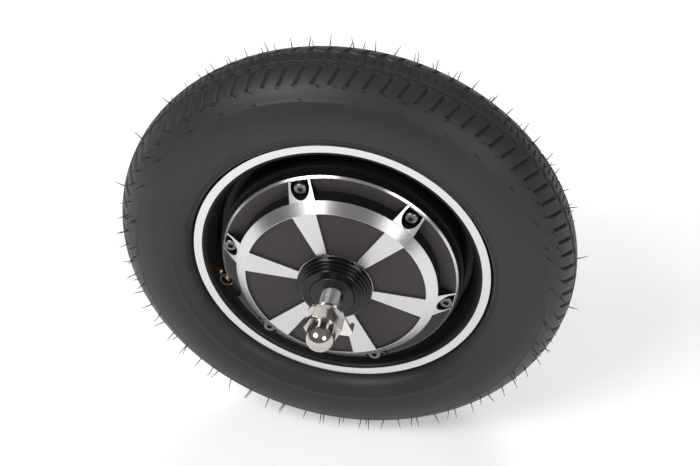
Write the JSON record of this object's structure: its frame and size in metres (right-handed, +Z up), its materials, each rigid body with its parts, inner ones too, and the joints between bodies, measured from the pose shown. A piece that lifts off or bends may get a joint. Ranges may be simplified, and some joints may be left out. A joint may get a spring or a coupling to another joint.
{
  "type": "hub motor wheel",
  "caption": "Direct-drive hub motor wheel: pneumatic tyre on a cast rim and motor shell, turning on a fixed axle with flatted threaded ends and a cable outlet.",
  "frame": {"origin": "on the axle's axis, at the tyre's centre plane; the solids' volume centroid falls there too, because the wheel is near symmetric", "axes": "+Y along the axle towards the cable end, +Z up; the dome nut faces -Y"},
  "size_m": [0.254, 0.1971, 0.254],
  "materials": {
    "tyre_rubber": "satin",
    "seal_rubber": "matte",
    "valve_brass": "polished",
    "rim_black": "semi-gloss with a machined lip",
    "cover_paint": "satin paint with machined spokes and band",
    "boss_black": "gloss",
    "spacer_black": "satin",
    "lamination_steel": "satin",
    "magnet_plate": "nickel plate",
    "nut_chrome": "polished",
    "screw_steel": "zinc",
    "cage_plastic": "matte",
    "bearing_steel": "ground",
    "axle_steel": "turned",
    "carrier_aluminium": "cast",
    "liner_plastic": "matte",
    "copper_wire": "enamelled",
    "board": "solder mask",
    "chip_plastic": "matte",
    "lead_sleeve": "matte",
    "cable_sheath": "satin",
    "plug_plastic": "moulded"
  },
  "bodies": {
    "axle_assembly": {"axle": "axle_steel", "axle_key": "axle_steel", "stator_carrier": "carrier_aluminium", "stator_core": "lamination_steel", "slot_liners": "liner_plastic", "windings": "copper_wire", "hall_board": "board", "hall_sensors": "chip_plastic", "phase_leads": "lead_sleeve", "near_spacer": "spacer_black", "far_spacer": "spacer_black", "near_tab_washer": "nut_chrome", "far_tab_washer": "nut_chrome", "dome_nut": "nut_chrome", "hex_nut": "nut_chrome", "motor_cable": "cable_sheath", "cable_grommet": "seal_rubber", "cable_plug": "plug_plastic", "near_bearing_inner_race": "bearing_steel", "far_bearing_inner_race": "bearing_steel"},
    "near_ball_set": {"near_bearing_balls": "bearing_steel", "near_bearing_cage": "cage_plastic"},
    "far_ball_set": {"far_bearing_balls": "bearing_steel", "far_bearing_cage": "cage_plastic"},
    "wheel": {"tyre": "tyre_rubber", "inner_tube": "seal_rubber", "valve_stem": "valve_brass", "valve_core": "valve_brass", "rim_shell": "rim_black", "flux_ring": "lamination_steel", "rotor_magnets": "magnet_plate", "near_cover": "cover_paint", "far_cover": "cover_paint", "near_cover_screws": "screw_steel", "far_cover_screws": "screw_steel", "near_cover_seal": "seal_rubber", "far_cover_seal": "seal_rubber", "near_dust_cap": "boss_black", "far_dust_cap": "boss_black", "near_shaft_seal": "seal_rubber", "far_shaft_seal": "seal_rubber", "near_bearing_outer_race": "bearing_steel", "far_bearing_outer_race": "bearing_steel", "near_bearing_shields": "bearing_steel", "far_bearing_shields": "bearing_steel"}
  },
  "joints": [
    {"name": "wheel_spin", "type": "hinge", "parent": "axle_assembly", "child": "wheel", "pos_m": [0, 0, 0], "axis": [0, 1, 0], "continuous": true},
    {"name": "near_ball_roll", "type": "hinge", "parent": "axle_assembly", "child": "near_ball_set", "pos_m": [0, 0, 0], "axis": [0, 1, 0], "continuous": true},
    {"name": "far_ball_roll", "type": "hinge", "parent": "axle_assembly", "child": "far_ball_set", "pos_m": [0, 0, 0], "axis": [0, 1, 0], "continuous": true}
  ],
  "couplings": [
    {"joint": "near_ball_roll", "follows": "wheel_spin", "ratio": 0.62},
    {"joint": "far_ball_roll", "follows": "wheel_spin", "ratio": 0.62}
  ]
}
